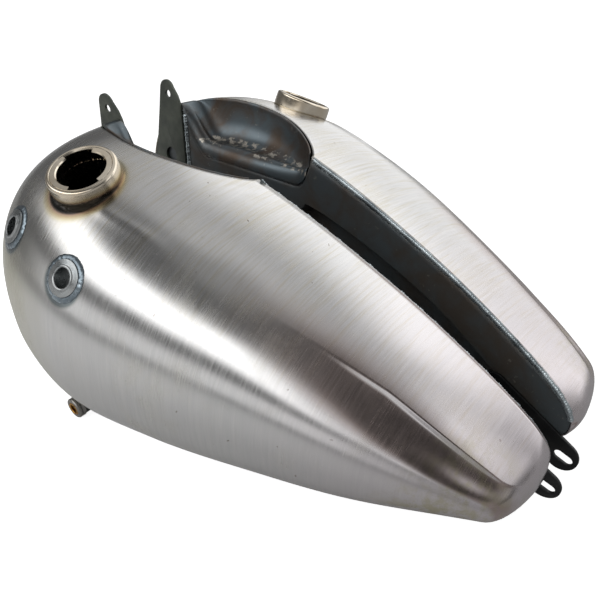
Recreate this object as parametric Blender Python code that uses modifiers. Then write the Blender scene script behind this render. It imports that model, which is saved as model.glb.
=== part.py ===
"""Split motorcycle fuel tank: a left and a right teardrop half, standing as a pair on their bellies.

Each half is worked out in its own frame: s runs back from the nose, u outwards from the flat inner side,
h up from the belly. The half is then leaned out and toed in by an empty. +X is the tail, -Y the left half.
"""
import bpy
import bmesh
import numpy as np
from math import asin, atan2, cos, pi, radians, sin
from mathutils import Matrix, Vector

MM = 0.001

# ---- driving dimensions -------------------------------------------------------------------------------
LENGTH = 554 * MM             # a half, from nose to tail
SHEET = 1.5 * MM              # steel of skins, panels and pans
FIT = 0.3 * MM                # clearance between touching pieces

# stations along the skin, from the nose: top seam height, bottom seam height, width, and how high the
# widest line lies as a share of the section's height
STATIONS = [
    (0 * MM, 220 * MM, 35 * MM, 129 * MM, 0.37),
    (60 * MM, 236 * MM, 24 * MM, 156 * MM, 0.37),
    (110 * MM, 240 * MM, 12 * MM, 174 * MM, 0.37),
    (190 * MM, 234 * MM, 0 * MM, 188 * MM, 0.37),
    (280 * MM, 210 * MM, 5 * MM, 176 * MM, 0.37),
    (370 * MM, 175 * MM, 15 * MM, 151 * MM, 0.37),
    (460 * MM, 131 * MM, 29 * MM, 120 * MM, 0.38),
    (540 * MM, 80 * MM, 41 * MM, 80 * MM, 0.50),
    (554 * MM, 69 * MM, 43 * MM, 71 * MM, 0.50),
]
NOSE_ROUND = 130 * MM         # how far back the nose is still rounding out
NOSE_HEIGHT = 141 * MM        # height of the nose tip
TAIL_ROUND = 21 * MM
TAIL_HEIGHT = 56 * MM
NOSE_PLAN, NOSE_SIDE = 2.4, 2.1      # superellipse powers of the ends
TAIL_PLAN, TAIL_SIDE = 2.25, 3.0
SIDE_POWER, TOP_POWER, BOTTOM_POWER = 2.63, 2.48, 2.38

# the inner corners of nose and tail sweep in: how much, how far out and how far along that reaches
NOSE_SWEEP = (24 * MM, 75 * MM, 100 * MM)
TAIL_SWEEP = (4 * MM, 30 * MM, 40 * MM)

# pressed ridge with a valley under it, from mid tank to tail
RIDGE_START, RIDGE_FULL = 330 * MM, 480 * MM
RIDGE_OUT_FRONT, RIDGE_OUT_TAIL = 0.62, 0.77   # how far out the ridge lies, as a share of the width
RIDGE_TURN = 450 * MM         # from here back it moves outwards
VALLEY_DEPTH = 7 * MM
VALLEY_ANGLE = radians(46)

# recess at the top inner edge, for the steering neck
RECESS_FRONT, RECESS_REAR = 59 * MM, 267 * MM
RECESS_WIDTH = 47 * MM
LIP_HEIGHT = 196 * MM         # level stretch of the recess's inner lip
LIP_FALL_START, LIP_FALL_END = 75 * MM, 118 * MM
LIP_RISE = 20 * MM            # length over which the lip climbs back to the seam at the rear
LIP_ROLL = 13 * MM            # height of the roll that turns the lip down to the panel
LIP_ROLL_FULL = 25 * MM       # the lip lies this far under the seam before the roll is full
PAN_RIDGE, PAN_FLOOR = 0.24, 0.48     # where the lip's ridge and the bowl's floor lie, as shares of its width
PAN_DIP = 3.5 * MM            # floor of the bowl below the ridge

# tunnel in the inner panel, for the frame's backbone tube
TUNNEL_FRONT, TUNNEL_REAR = 84 * MM, 500 * MM
TUNNEL_TOP = [(84 * MM, 150 * MM), (96 * MM, 162 * MM), (135 * MM, 175 * MM), (160 * MM, 175 * MM),
              (293 * MM, 161 * MM), (347 * MM, 144 * MM), (420 * MM, 113 * MM), (500 * MM, 62 * MM)]
TUNNEL_HEIGHT = 76 * MM
TUNNEL_DEPTH = 22 * MM
TUNNEL_STEP = 6 * MM          # run of the pressed step at its edges
TUNNEL_LAND = 22 * MM         # least flat land below the tunnel

# filler neck, its axis through the centre of its top ring
NECK_AT = (167 * MM, 105 * MM, 236.6 * MM)
NECK_AXIS = (0.14, 0.30, 0.944)
NECK_RADIUS = 30.5 * MM
NECK_WALL = 2.0 * MM
NECK_LENGTH = 26 * MM
NECK_ROUND = 2.5 * MM
NECK_SHELF = 5.5 * MM         # width of the shelf that carries the bayonet ring
RING_RADIUS = 26.2 * MM
RING_BORE = 20.8 * MM
RING_THICK = 2.8 * MM
NOTCH_RADIUS = 24.6 * MM
NOTCH_ANGLE = radians(62)
NOTCH_TURN = radians(36)      # middle of a notch, turned outwards from the direction of the tail

# side bosses, on the left half only: (name, distance from the nose, distance out)
BOSSES = [("front", 118 * MM, 151 * MM), ("rear", 206 * MM, 164 * MM)]
BOSS_RADIUS = 11.5 * MM
BOSS_BORE = 8.2 * MM
BOSS_DEPTH = 14 * MM
BOSS_FLOOR = 2.5 * MM
BOSS_STANDS = 2.6 * MM
BOSS_RING_RADIUS = 18.6 * MM
BOSS_RING_HEIGHT = 1.6 * MM

# fuel outlet under the nose, pointing outwards
OUTLET_AT = (169 * MM, 173 * MM, 19.5 * MM)
OUTLET_RADIUS = 8.2 * MM
OUTLET_BORE = 5.6 * MM
OUTLET_LENGTH = 45 * MM
COLLAR_RADIUS = 8.8 * MM
COLLAR_LENGTH = 7 * MM
INSERT_BORE = 3.9 * MM
INSERT_LENGTH = 18 * MM

# tap bung under the belly, on the left half only
BUNG_AT = (392 * MM, 62 * MM)
BUNG_RADIUS = 14 * MM
BUNG_BORE = 8 * MM
BUNG_LENGTH = 10 * MM
BUNG_STANDS = 3 * MM

# front bracket: upright plate against the inner panel
PLATE = 3 * MM
EAR_TOP = (61 * MM, 243.5 * MM)       # centre of the rounded top
EAR_TOP_RADIUS = 11 * MM
EAR_SHOULDER = [(81.5 * MM, 232.5 * MM), (78 * MM, 240 * MM)]
EAR_WAIST = (46 * MM, 84 * MM, 222 * MM)      # front edge, rear edge, height
EAR_FOOT = (31 * MM, 87 * MM, 140 * MM)
EAR_HOLE = (63 * MM, 240 * MM)
EAR_HOLE_RADIUS = 4 * MM
EAR_WINDOW = (62 * MM, 172 * MM)
EAR_WINDOW_RADIUS = 8.7 * MM
BEAD = 2.6 * MM               # radius of a weld bead

# rear strap: a plate with round ends, a bolt slot in the tail end
STRAP_FRONT = (LENGTH - 72 * MM, 63 * MM)
STRAP_END = (LENGTH - 4 * MM, 27.5 * MM)
STRAP_RADIUS = 14 * MM
SLOT_PAST = 2 * MM            # slot's middle, past the middle of the strap's rounded end
SLOT_LENGTH = 16.5 * MM
SLOT_WIDTH = 8.2 * MM
SLOT_TILT = radians(-16)

# how the two halves stand
HALF_GAP = 30.3 * MM          # from the middle to the inner side, at the nose tip's foot
TOE_IN = radians(1.11)
LEAN_OUT = radians(2.8)

# mesh fineness
NOSE_COLUMNS, RECESS_COLUMNS, BACK_COLUMNS, TAIL_COLUMNS = 9, 19, 12, 7
SKIN_TOP_ROWS, SKIN_LOW_ROWS = 8, 15
PAN_ROWS = 13
TURN_STEPS = 32


# ---- scene and materials ------------------------------------------------------------------------------
for old in list(bpy.data.objects):
    bpy.data.objects.remove(old, do_unlink=True)


def collection(name):
    made = bpy.data.collections.new(name)
    bpy.context.scene.collection.children.link(made)
    return made


PARTS = collection("fuel_tank")
CUTTERS = collection("cutters")


def material(name, colour, roughness, metallic):
    made = bpy.data.materials.new(name)
    made.use_nodes = True
    shader = made.node_tree.nodes["Principled BSDF"]
    shader.inputs["Base Color"].default_value = (*colour, 1)
    shader.inputs["Roughness"].default_value = roughness
    shader.inputs["Metallic"].default_value = metallic
    made.diffuse_color = (*colour, 1)
    return made


SKIN_STEEL = material("brushed_bare_steel", (0.60, 0.58, 0.55), 0.32, 1.0)
SCALE_STEEL = material("mill_scale_steel", (0.035, 0.04, 0.048), 0.42, 0.6)
NECK_STEEL = material("polished_neck_steel", (0.62, 0.56, 0.47), 0.16, 1.0)
EAR_STEEL = material("olive_plate_steel", (0.075, 0.085, 0.075), 0.45, 0.5)
STRAP_STEEL = material("black_plate_steel", (0.02, 0.02, 0.02), 0.5, 0.4)
WELD_STEEL = material("weld_bead_steel", (0.33, 0.35, 0.37), 0.3, 0.9)
BOSS_STEEL = material("plated_boss_steel", (0.36, 0.37, 0.37), 0.4, 0.9)
BRASS = material("outlet_brass", (0.62, 0.40, 0.15), 0.3, 1.0)


# ---- shape of a half ----------------------------------------------------------------------------------
def smooth(t):
    t = np.clip(t, 0, 1)
    return t * t * (3 - 2 * t)


def through(points, column, s):
    """Cubic curve through a table's points: value `column` at the distances s."""
    xs = np.array([p[0] for p in points])
    ys = np.array([p[column] for p in points])
    gaps = np.diff(xs)
    rises = np.diff(ys) / gaps
    slopes = np.concatenate([rises[:1], rises, rises[-1:]])
    slopes = slopes[:-1] * 0.5 + slopes[1:] * 0.5
    inner = (rises[:-1] * gaps[1:] + rises[1:] * gaps[:-1]) / (gaps[1:] + gaps[:-1])
    slopes[1:-1] = inner
    i = np.clip(np.searchsorted(xs, s) - 1, 0, len(gaps) - 1)
    t = (np.clip(s, xs[0], xs[-1]) - xs[i]) / gaps[i]
    return (ys[i] * (1 + 2 * t) * (1 - t) ** 2 + slopes[i] * gaps[i] * t * (1 - t) ** 2
            + ys[i + 1] * t * t * (3 - 2 * t) + slopes[i + 1] * gaps[i] * t * t * (t - 1))


def section(s):
    """Top seam height, bottom seam height and width of the skin at the distances s from the nose."""
    nose = np.clip(1 - s / NOSE_ROUND, 0, 1)
    tail = np.clip(1 - (LENGTH - s) / TAIL_ROUND, 0, 1)
    top, bottom, width = (through(STATIONS, column, s) for column in (1, 2, 3))
    nose_side = (1 - nose ** NOSE_SIDE) ** (1 / NOSE_SIDE)
    tail_side = (1 - tail ** TAIL_SIDE) ** (1 / TAIL_SIDE)
    top = NOSE_HEIGHT + (top - NOSE_HEIGHT) * nose_side
    bottom = NOSE_HEIGHT + (bottom - NOSE_HEIGHT) * nose_side
    top = TAIL_HEIGHT + (top - TAIL_HEIGHT) * tail_side
    bottom = TAIL_HEIGHT + (bottom - TAIL_HEIGHT) * tail_side
    width = width * (1 - nose ** NOSE_PLAN) ** (1 / NOSE_PLAN) * (1 - tail ** TAIL_PLAN) ** (1 / TAIL_PLAN)
    return top, bottom, width


def angle_at(share):
    """Angle round a section, from level to straight up, at which the skin is `share` of its width out."""
    return np.arccos(np.clip(share, 0, 1) ** (SIDE_POWER / 2))


def ridge_angle(s):
    run = np.clip((s - RIDGE_TURN) / (LENGTH - RIDGE_TURN), 0, 1)
    return angle_at(RIDGE_OUT_FRONT + (RIDGE_OUT_TAIL - RIDGE_OUT_FRONT) * run ** 1.2)


def egg(s, angle):
    """Plain superellipse section, flat-sided at the inner panel: (s, u, h)."""
    top, bottom, width = section(s)
    middle = bottom + through(STATIONS, 4, s) * (top - bottom)
    u = width * np.abs(np.cos(angle)) ** (2 / SIDE_POWER)
    up = np.maximum(np.sin(angle), 0) ** (2 / TOP_POWER)
    down = np.maximum(-np.sin(angle), 0) ** (2 / BOTTOM_POWER)
    return np.stack([s + 0 * angle, u, middle + (top - middle) * up - (middle - bottom) * down], -1)


def skin(s, angle):
    """Skin point (s, u, h): the section with the valley pressed in under the ridge."""
    s, angle = np.broadcast_arrays(np.asarray(s, float), np.asarray(angle, float))
    point = egg(s, angle)
    step = 0.02
    along = egg(s, np.minimum(angle + step, pi / 2)) - egg(s, np.maximum(angle - step, -pi / 2))
    size = np.hypot(along[..., 1], along[..., 2]) + 1e-9
    outward = np.stack([0 * s, along[..., 2] / size, -along[..., 1] / size], -1)
    fall = np.clip((ridge_angle(s) - angle) / VALLEY_ANGLE, 0, 1)
    fade = smooth((s - RIDGE_START) / (RIDGE_FULL - RIDGE_START)) * smooth((LENGTH - s) / (2 * TAIL_ROUND))
    depth = VALLEY_DEPTH * fade * 6.75 * fall * (1 - fall) ** 2
    return point - depth[..., None] * outward


def swept(s, out):
    """Distance from the nose once the inner corners of nose and tail are swept in."""
    nose, tail = ((depth * np.clip(1 - np.maximum(out, 0) / reach, 0, 1) ** 2
                   * np.clip(1 - along / length, 0, 1) ** 2)
                  for (depth, reach, length), along in ((NOSE_SWEEP, s), (TAIL_SWEEP, LENGTH - s)))
    return s + nose - tail


def skin_frame(s, angle):
    """Point on the skin with its unit tangents (back, round) and outward normal."""
    step = 1e-3
    point = skin(s, angle)
    back = (skin(s + step, angle) - skin(s - step, angle)) / (2 * step)
    turn = (skin(s, angle + step) - skin(s, angle - step)) / (2 * step)
    normal = np.cross(back, turn)
    normal = normal / np.linalg.norm(normal)
    if normal[1] < 0:
        normal = -normal
    return point, back, turn, normal


def skin_circle(s, angle, radius, turns):
    """Skin points that lie at `radius` from the axis square to the skin at (s, angle)."""
    point, back, turn, normal = skin_frame(s, angle)
    first = back / np.linalg.norm(back)
    second = np.cross(normal, first)
    wanted = radius * np.stack([np.cos(turns), np.sin(turns)], -1)
    slope = np.array([[back @ first, turn @ first], [back @ second, turn @ second]])
    at = np.zeros((len(turns), 2))
    for _ in range(8):
        offset = skin(s + at[:, 0], angle + at[:, 1]) - point
        have = np.stack([offset @ first, offset @ second], -1)
        at = at + np.linalg.solve(slope, (wanted - have)[..., None])[..., 0]
    return skin(s + at[:, 0], angle + at[:, 1])


def recess_out(s):
    """How far out the recess's rim lies at s."""
    t = (s - (RECESS_REAR + RECESS_FRONT) / 2) / ((RECESS_REAR - RECESS_FRONT) / 2)
    return RECESS_WIDTH * np.maximum(1 - t * t, 0) ** 0.75


def lip_height(s, top):
    """Height of the recess's inner lip: the seam's height outside the recess, a level dip in it."""
    dip = smooth((s - LIP_FALL_START) / (LIP_FALL_END - LIP_FALL_START))
    rise = np.clip((RECESS_REAR - s) / LIP_RISE, 0, 1)
    rise = np.sqrt(1 - (1 - rise) ** 2)
    return top - np.maximum(top - LIP_HEIGHT, 0) * dip * rise


def lip_roll(s, top):
    """Height of the roll under the lip: none where the lip meets the seam."""
    return LIP_ROLL * smooth((top - lip_height(s, top)) / LIP_ROLL_FULL)


def columns():
    """Distances of the mesh columns that skin, panel and pan share: close at nose, recess ends and tail."""
    quarter = np.linspace(0, pi / 2, NOSE_COLUMNS)
    tail = np.linspace(0, pi / 2, TAIL_COLUMNS)
    return np.concatenate([
        RECESS_FRONT * (1 - np.cos(quarter)),
        RECESS_FRONT + (RECESS_REAR - RECESS_FRONT) * (0.5 - 0.5 * np.cos(np.linspace(0, pi, RECESS_COLUMNS)))[1:],
        np.linspace(RECESS_REAR, LENGTH - TAIL_ROUND, BACK_COLUMNS)[1:],
        LENGTH - TAIL_ROUND + TAIL_ROUND * np.sin(tail)[1:],
    ])


# ---- building helpers ---------------------------------------------------------------------------------
class Half:
    """One side of the pair: its empty, and the sign of its outward direction along Y."""

    def __init__(self, name, out):
        self.name, self.out = name, out
        self.empty = bpy.data.objects.new(name + "_half", None)
        self.empty.rotation_euler = (-out * LEAN_OUT, 0, -out * TOE_IN)
        PARTS.objects.link(self.empty)

    def local(self, points):
        """(s, u, h) to the empty's x, y, z."""
        return np.asarray(points, float) * np.array([1, self.out, 1])

    def adopt(self, thing, metal, keep=PARTS):
        keep.objects.link(thing)
        thing.parent = self.empty
        if metal:
            thing.data.materials.append(metal)
        return thing


def clean_mesh(name, points, faces, flip=None):
    """Mesh from points and faces, doubles merged; an open one's faces are turned round where `flip` says so."""
    mesh = bpy.data.meshes.new(name)
    mesh.from_pydata([tuple(p) for p in points], [], [tuple(f[::-1] if flip else f) for f in faces])
    work = bmesh.new()
    work.from_mesh(mesh)
    bmesh.ops.remove_doubles(work, verts=work.verts, dist=0.01 * MM)
    bmesh.ops.dissolve_degenerate(work, edges=work.edges, dist=0.01 * MM)
    if flip is None:
        bmesh.ops.recalc_face_normals(work, faces=work.faces)
    work.to_mesh(mesh)
    work.free()
    mesh.shade_smooth()
    mesh.set_sharp_from_angle(angle=radians(35))
    return mesh


def grid_faces(rows, columns, wrap_rows=False, wrap_columns=False):
    """Quads of a grid of rows x columns points; a wrapped direction closes on itself."""
    faces = []
    for i in range(rows if wrap_rows else rows - 1):
        for j in range(columns if wrap_columns else columns - 1):
            a, b = i * columns + j, i * columns + (j + 1) % columns
            c, d = ((i + 1) % rows) * columns + (j + 1) % columns, ((i + 1) % rows) * columns + j
            faces.append((a, b, c, d))
    return faces


def sheet_part(half, name, grid, metal, thickness=SHEET, swept_already=False):
    """Open grid of (s, u, h) points, first index back, second downwards, swept and made solid inwards."""
    rows, columns = grid.shape[:2]
    if not swept_already:
        grid = np.stack([swept(grid[..., 0], grid[..., 1]), grid[..., 1], grid[..., 2]], -1)
    mesh = clean_mesh(name, half.local(grid.reshape(-1, 3)), grid_faces(rows, columns), half.out > 0)
    thing = half.adopt(bpy.data.objects.new(name + "_" + half.name, mesh), metal)
    wall = thing.modifiers.new("sheet", "SOLIDIFY")
    wall.thickness = thickness
    wall.offset = -1
    return thing


def axis_matrix(half, at, axis):
    """Placement whose Z runs along `axis` from `at`, both given as (s, u, h)."""
    turn = Vector(half.local(axis)).to_track_quat("Z", "Y").to_matrix().to_4x4()
    return Matrix.Translation(Vector(half.local(at))) @ turn


def turned(half, name, profile, placement, metal, closed=True, steps=TURN_STEPS):
    """Profile of (radius, height), up the bore and down the outside, turned round its Z axis."""
    mesh = bpy.data.meshes.new(name)
    count = len(profile)
    edges = [(i, (i + 1) % count) for i in range(count if closed else count - 1)]
    mesh.from_pydata([(r, 0, z) for r, z in profile], edges, [])
    thing = half.adopt(bpy.data.objects.new(name + "_" + half.name, mesh), metal)
    thing.matrix_local = placement
    screw = thing.modifiers.new("turn", "SCREW")
    screw.steps = screw.render_steps = steps
    screw.use_merge_vertices = True
    screw.merge_threshold = 0.00001
    screw.use_smooth_shade = True
    return thing


def cut_round(half, thing, name, placement, radius, low, high):
    """Round hole through `thing`, from low to high along the placement's Z."""
    mesh = bpy.data.meshes.new(name)
    work = bmesh.new()
    bmesh.ops.create_cone(work, cap_ends=True, segments=TURN_STEPS, radius1=radius, radius2=radius,
                          depth=high - low)
    bmesh.ops.translate(work, verts=work.verts, vec=(0, 0, (high + low) / 2))
    work.to_mesh(mesh)
    work.free()
    cutter = half.adopt(bpy.data.objects.new(name + "_" + half.name, mesh), None, CUTTERS)
    cutter.matrix_local = placement
    cutter.hide_render = True
    cutter.display_type = "WIRE"
    cut = thing.modifiers.new(name, "BOOLEAN")
    cut.operation = "DIFFERENCE"
    cut.solver = "EXACT"
    cut.object = cutter


def plate(half, name, loops, metal):
    """Flat plate against the inner panel: outlines of (s, h) points, the first one outside."""
    curve = bpy.data.curves.new(name, "CURVE")
    curve.dimensions = "2D"
    curve.fill_mode = "BOTH"
    curve.extrude = PLATE / 2
    for loop in loops:
        spline = curve.splines.new("POLY")
        spline.points.add(len(loop) - 1)
        for point, (s, h) in zip(spline.points, loop):
            point.co = (s, h, 0, 1)
        spline.use_cyclic_u = True
    thing = half.adopt(bpy.data.objects.new(name + "_" + half.name, curve), metal)
    thing.rotation_euler = (pi / 2, 0, 0)
    thing.location = (0, -half.out * (FIT + PLATE / 2), 0)
    return thing


def arc(centre, radius, start, end, count):
    """Points on an arc of a flat outline."""
    angles = np.linspace(start, end, count)
    return [(centre[0] + radius * cos(a), centre[1] + radius * sin(a)) for a in angles]


def bead(half, name, path, metal=WELD_STEEL, radius=BEAD, sides=5):
    """Half-round weld bead laid on the inner side along a path of (s, h) points."""
    path = np.asarray(path, float)
    along = np.gradient(path, axis=0)
    along = along / np.linalg.norm(along, axis=1)[:, None]
    across = np.stack([-along[:, 1], along[:, 0]], 1)
    turn = np.linspace(0, pi, sides)
    spread_out, stands = np.cos(turn) * radius, np.sin(turn) * radius * 0.8 + FIT
    grid = np.empty((len(path), sides, 3))
    grid[..., 0] = path[:, None, 0] + across[:, None, 0] * spread_out
    grid[..., 2] = path[:, None, 1] + across[:, None, 1] * spread_out
    grid[..., 1] = -stands
    faces = grid_faces(len(path), sides, wrap_columns=True)
    last = (len(path) - 1) * sides
    faces.append(tuple(range(sides))[::-1])
    faces.append(tuple(last + k for k in range(sides)))
    mesh = clean_mesh(name, half.local(grid.reshape(-1, 3)), faces)
    return half.adopt(bpy.data.objects.new(name + "_" + half.name, mesh), metal)


# ---- skin, recess pan and inner panel -----------------------------------------------------------------
def outer_skin(half):
    """Deep pressed shell. One row of its grid lies on the ridge, and its top row follows the recess's rim."""
    s = columns()
    width = section(s)[2]
    rim = recess_out(s)
    start = angle_at(np.divide(rim, width, out=np.zeros_like(s), where=width > rim))
    ridge = ridge_angle(s)
    high = np.linspace(0, 1, SKIN_TOP_ROWS)
    low = np.linspace(0, 1, SKIN_LOW_ROWS)[1:]
    upper = start[:, None] + (ridge - start)[:, None] * high
    lower = ridge[:, None] + (-pi / 2 - ridge)[:, None] * low
    angles = np.concatenate([upper, lower], axis=1)
    return sheet_part(half, "outer_skin", skin(s[:, None], angles), SKIN_STEEL)


def seam_loop(s, inset):
    """Top and bottom seam points (s, h) as swept, moved in from the skin's outer face by `inset`."""
    top, bottom, _ = section(s)
    ends = []
    s = swept(s, 0)
    for height, side in ((top, 1), (bottom, -1)):
        run, climb = np.gradient(s), np.gradient(height)
        run[0] = run[-1] = 0
        size = np.hypot(run, climb)
        climb = np.where(run == 0, np.sign(climb) * size, climb)
        ends.append(np.stack([s + side * inset * climb / size, height - side * inset * run / size], -1))
    for end in (0, -1):
        if top[end] - bottom[end] < FIT:
            ends[0][end] = ends[1][end] = (ends[0][end] + ends[1][end]) / 2
    return ends


def tunnel_edges(s, low, high):
    """Top and bottom edge of the tunnel at s, kept inside the panel."""
    top = np.minimum(through(TUNNEL_TOP, 1, s), high - TUNNEL_LAND)
    bottom = np.maximum(top - TUNNEL_HEIGHT, low + TUNNEL_LAND)
    tall = np.maximum(top - bottom, 0)
    ends = smooth((s - TUNNEL_FRONT) / (5 * TUNNEL_STEP)) * smooth((TUNNEL_REAR - s) / (8 * TUNNEL_STEP))
    depth = TUNNEL_DEPTH * ends * smooth(tall / (TUNNEL_HEIGHT * 0.6))
    middle = (top + bottom) / 2
    top = np.clip(np.where(tall > 0, top, middle), low + (high - low) * 0.35, low + (high - low) * 0.85)
    bottom = np.clip(np.where(tall > 0, bottom, middle), low + (high - low) * 0.12, top - (high - low) * 0.15)
    return top, bottom, depth


def inner_panel(half):
    """Pressed wall on the inner side: flat band, tunnel, flat land, with the recess's lip as its top edge."""
    inset = SHEET + FIT
    s = columns()
    upper, lower = seam_loop(s, inset)
    top, _, _ = section(s)
    upper[:, 1] = np.minimum(upper[:, 1], lip_height(s, top) - lip_roll(s, top))
    high, low = upper[:, 1], lower[:, 1]
    edge_top, edge_low, depth = tunnel_edges(s, low, high)
    step = np.minimum(TUNNEL_STEP, (edge_top - edge_low) * 0.3)
    zero, full = 0 * s, depth
    rows = [(high, zero), ((high + edge_top) / 2, zero), (edge_top, zero), (edge_top - step * 0.4, full * 0.35),
            (edge_top - step, full * 0.9), (edge_top - step * 1.6, full), ((edge_top + edge_low) / 2, full),
            (edge_low + step * 1.6, full), (edge_low + step, full * 0.9), (edge_low + step * 0.4, full * 0.35),
            (edge_low, zero), ((edge_low + low) / 2, zero), (low, zero)]
    grid = np.empty((len(s), len(rows), 3))
    for j, (height, out) in enumerate(rows):
        share = (height - low) / np.maximum(high - low, 1e-9)
        grid[:, j, 0] = lower[:, 0] + (upper[:, 0] - lower[:, 0]) * share
        grid[:, j, 1] = out
        grid[:, j, 2] = height
    thing = sheet_part(half, "inner_panel", grid, SCALE_STEEL, swept_already=True)
    thing.modifiers["sheet"].offset = 1
    return thing


def recess_pan(half):
    """Pressed scoop: steep wall under the rim, bowl, the lip's ridge, and the roll down to the panel's edge."""
    inset = SHEET + FIT
    s = columns()
    steep = np.gradient(recess_out(s), s)
    out = recess_out(s) - (inset + FIT) * np.hypot(1, steep)
    s, out = s[out > 3 * inset], out[out > 3 * inset]
    top, _, width = section(s)
    rim = skin(s, angle_at(out / width))
    lip = lip_height(s, top) - FIT
    roll = lip_roll(s, top)
    share = roll / LIP_ROLL
    reach, floor = out - inset, lip - PAN_DIP * share
    bend = np.linspace(0, pi / 2, PAN_ROWS // 2)
    rise = np.linspace(0, 1, PAN_ROWS // 4 + 1)[1:-1]
    across, height = [], []
    for a in bend:                                   # wall under the rim, down to the floor
        across.append(PAN_FLOOR + (1 - PAN_FLOOR) * cos(a) + 0 * s)
        height.append(floor + (rim[:, 2] - FIT - floor) * (1 - sin(a)))
    for t in rise:                                   # floor, up to the ridge
        across.append(PAN_FLOOR + (PAN_RIDGE - PAN_FLOOR) * t + 0 * s)
        height.append(floor + (lip - floor) * t * t * (3 - 2 * t))
    for a in bend[::-1][:-1]:                        # ridge, and the roll down to the panel
        across.append(PAN_RIDGE * (1 - cos(a)) + 0 * s)
        height.append(lip - roll * (1 - sin(a)))
    across.append(0 * s)
    height.append(lip - roll)
    grid = np.stack([s[:, None] + 0 * np.array(across).T, inset + reach[:, None] * np.array(across).T,
                     np.array(height).T], -1)
    sheet_part(half, "recess_pan", grid[:, ::-1], SCALE_STEEL)


# ---- fittings -----------------------------------------------------------------------------------------
def filler_neck(half, skin_part):
    placement = axis_matrix(half, NECK_AT, NECK_AXIS)
    inner = NECK_RADIUS - NECK_WALL
    shelf_top = -RING_THICK - FIT
    seat = RING_RADIUS + FIT
    corner = [(NECK_RADIUS - NECK_ROUND + NECK_ROUND * sin(a), -NECK_ROUND + NECK_ROUND * cos(a))
              for a in np.linspace(0, pi / 2, 5)]
    profile = [(inner, -NECK_LENGTH), (inner, shelf_top - 2 * NECK_WALL),
               (NECK_RADIUS - NECK_SHELF, shelf_top - NECK_WALL), (NECK_RADIUS - NECK_SHELF, shelf_top),
               (seat, shelf_top), (seat, -0.4 * MM), (seat + 0.4 * MM, 0)]
    profile += corner + [(NECK_RADIUS, -NECK_LENGTH)]
    turned(half, "filler_neck", profile, placement, NECK_STEEL)
    cut_round(half, skin_part, "neck_hole", placement, NECK_RADIUS + FIT, -2 * NECK_LENGTH, NECK_LENGTH)
    bayonet_ring(half, placement)


def bayonet_ring(half, placement):
    """Flat lip with two notches that let the cap's ears through."""
    axis = np.array(NECK_AXIS) / np.linalg.norm(NECK_AXIS)
    back = np.array([1, 0, 0]) - axis * axis[0]
    back = back / np.linalg.norm(back)
    outward = np.cross(axis, back)
    mark = Vector(half.local(back * cos(NOTCH_TURN) + outward * sin(NOTCH_TURN)))
    mark = placement.to_3x3().inverted() @ mark
    turned_to = atan2(mark.y, mark.x)
    curve = bpy.data.curves.new("bayonet_ring", "CURVE")
    curve.dimensions = "2D"
    curve.fill_mode = "BOTH"
    curve.extrude = RING_THICK / 2
    bore = []
    for side in (0, pi):
        middle = turned_to + side
        bore += arc((0, 0), NOTCH_RADIUS, middle - NOTCH_ANGLE / 2, middle + NOTCH_ANGLE / 2, 7)
        bore += arc((0, 0), RING_BORE, middle + NOTCH_ANGLE / 2, middle + pi - NOTCH_ANGLE / 2, 13)
    for loop in (arc((0, 0), RING_RADIUS, 0, 2 * pi * 39 / 40, 40), bore):
        spline = curve.splines.new("POLY")
        spline.points.add(len(loop) - 1)
        for point, (x, y) in zip(spline.points, loop):
            point.co = (x, y, 0, 1)
        spline.use_cyclic_u = True
    ring = half.adopt(bpy.data.objects.new("bayonet_ring_" + half.name, curve), NECK_STEEL)
    ring.matrix_local = placement @ Matrix.Translation((0, 0, -RING_THICK / 2))


def side_boss(half, skin_part, name, s, out):
    """Blind boss set in the skin, square to it, with its welded ring lying on the skin."""
    angle = float(angle_at(out / section(np.array(s))[2]))
    point, _, _, normal = skin_frame(s, angle)
    placement = axis_matrix(half, point, normal)
    foot = BOSS_STANDS - BOSS_DEPTH
    chamfer = 0.8 * MM
    profile = [(0, foot + BOSS_FLOOR), (BOSS_BORE, foot + BOSS_FLOOR), (BOSS_BORE, BOSS_STANDS - chamfer),
               (BOSS_BORE + chamfer, BOSS_STANDS), (BOSS_RADIUS - chamfer, BOSS_STANDS),
               (BOSS_RADIUS, BOSS_STANDS - chamfer), (BOSS_RADIUS, foot), (0, foot)]
    turned(half, "boss_" + name, profile, placement, BOSS_STEEL, closed=False)
    cut_round(half, skin_part, "boss_hole_" + name, placement, BOSS_RADIUS + FIT, -BOSS_DEPTH, BOSS_DEPTH)

    inner, outer = BOSS_RADIUS + FIT, BOSS_RING_RADIUS
    shape = [(inner, FIT), (outer, FIT), (outer - 1.5 * MM, FIT + BOSS_RING_HEIGHT * 0.8),
             (inner + 1.5 * MM, FIT + BOSS_RING_HEIGHT), (inner, FIT + BOSS_RING_HEIGHT)]
    turns = np.linspace(0, 2 * pi, 24, endpoint=False)
    grid = np.empty((len(turns), len(shape), 3))
    for j, (radius, height) in enumerate(shape):
        grid[:, j] = skin_circle(s, angle, radius, turns) + height * normal
    faces = grid_faces(len(turns), len(shape), wrap_rows=True, wrap_columns=True)
    ring = clean_mesh("boss_weld_" + name, half.local(grid.reshape(-1, 3)), faces)
    half.adopt(bpy.data.objects.new("boss_weld_" + name + "_" + half.name, ring), WELD_STEEL)


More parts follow.
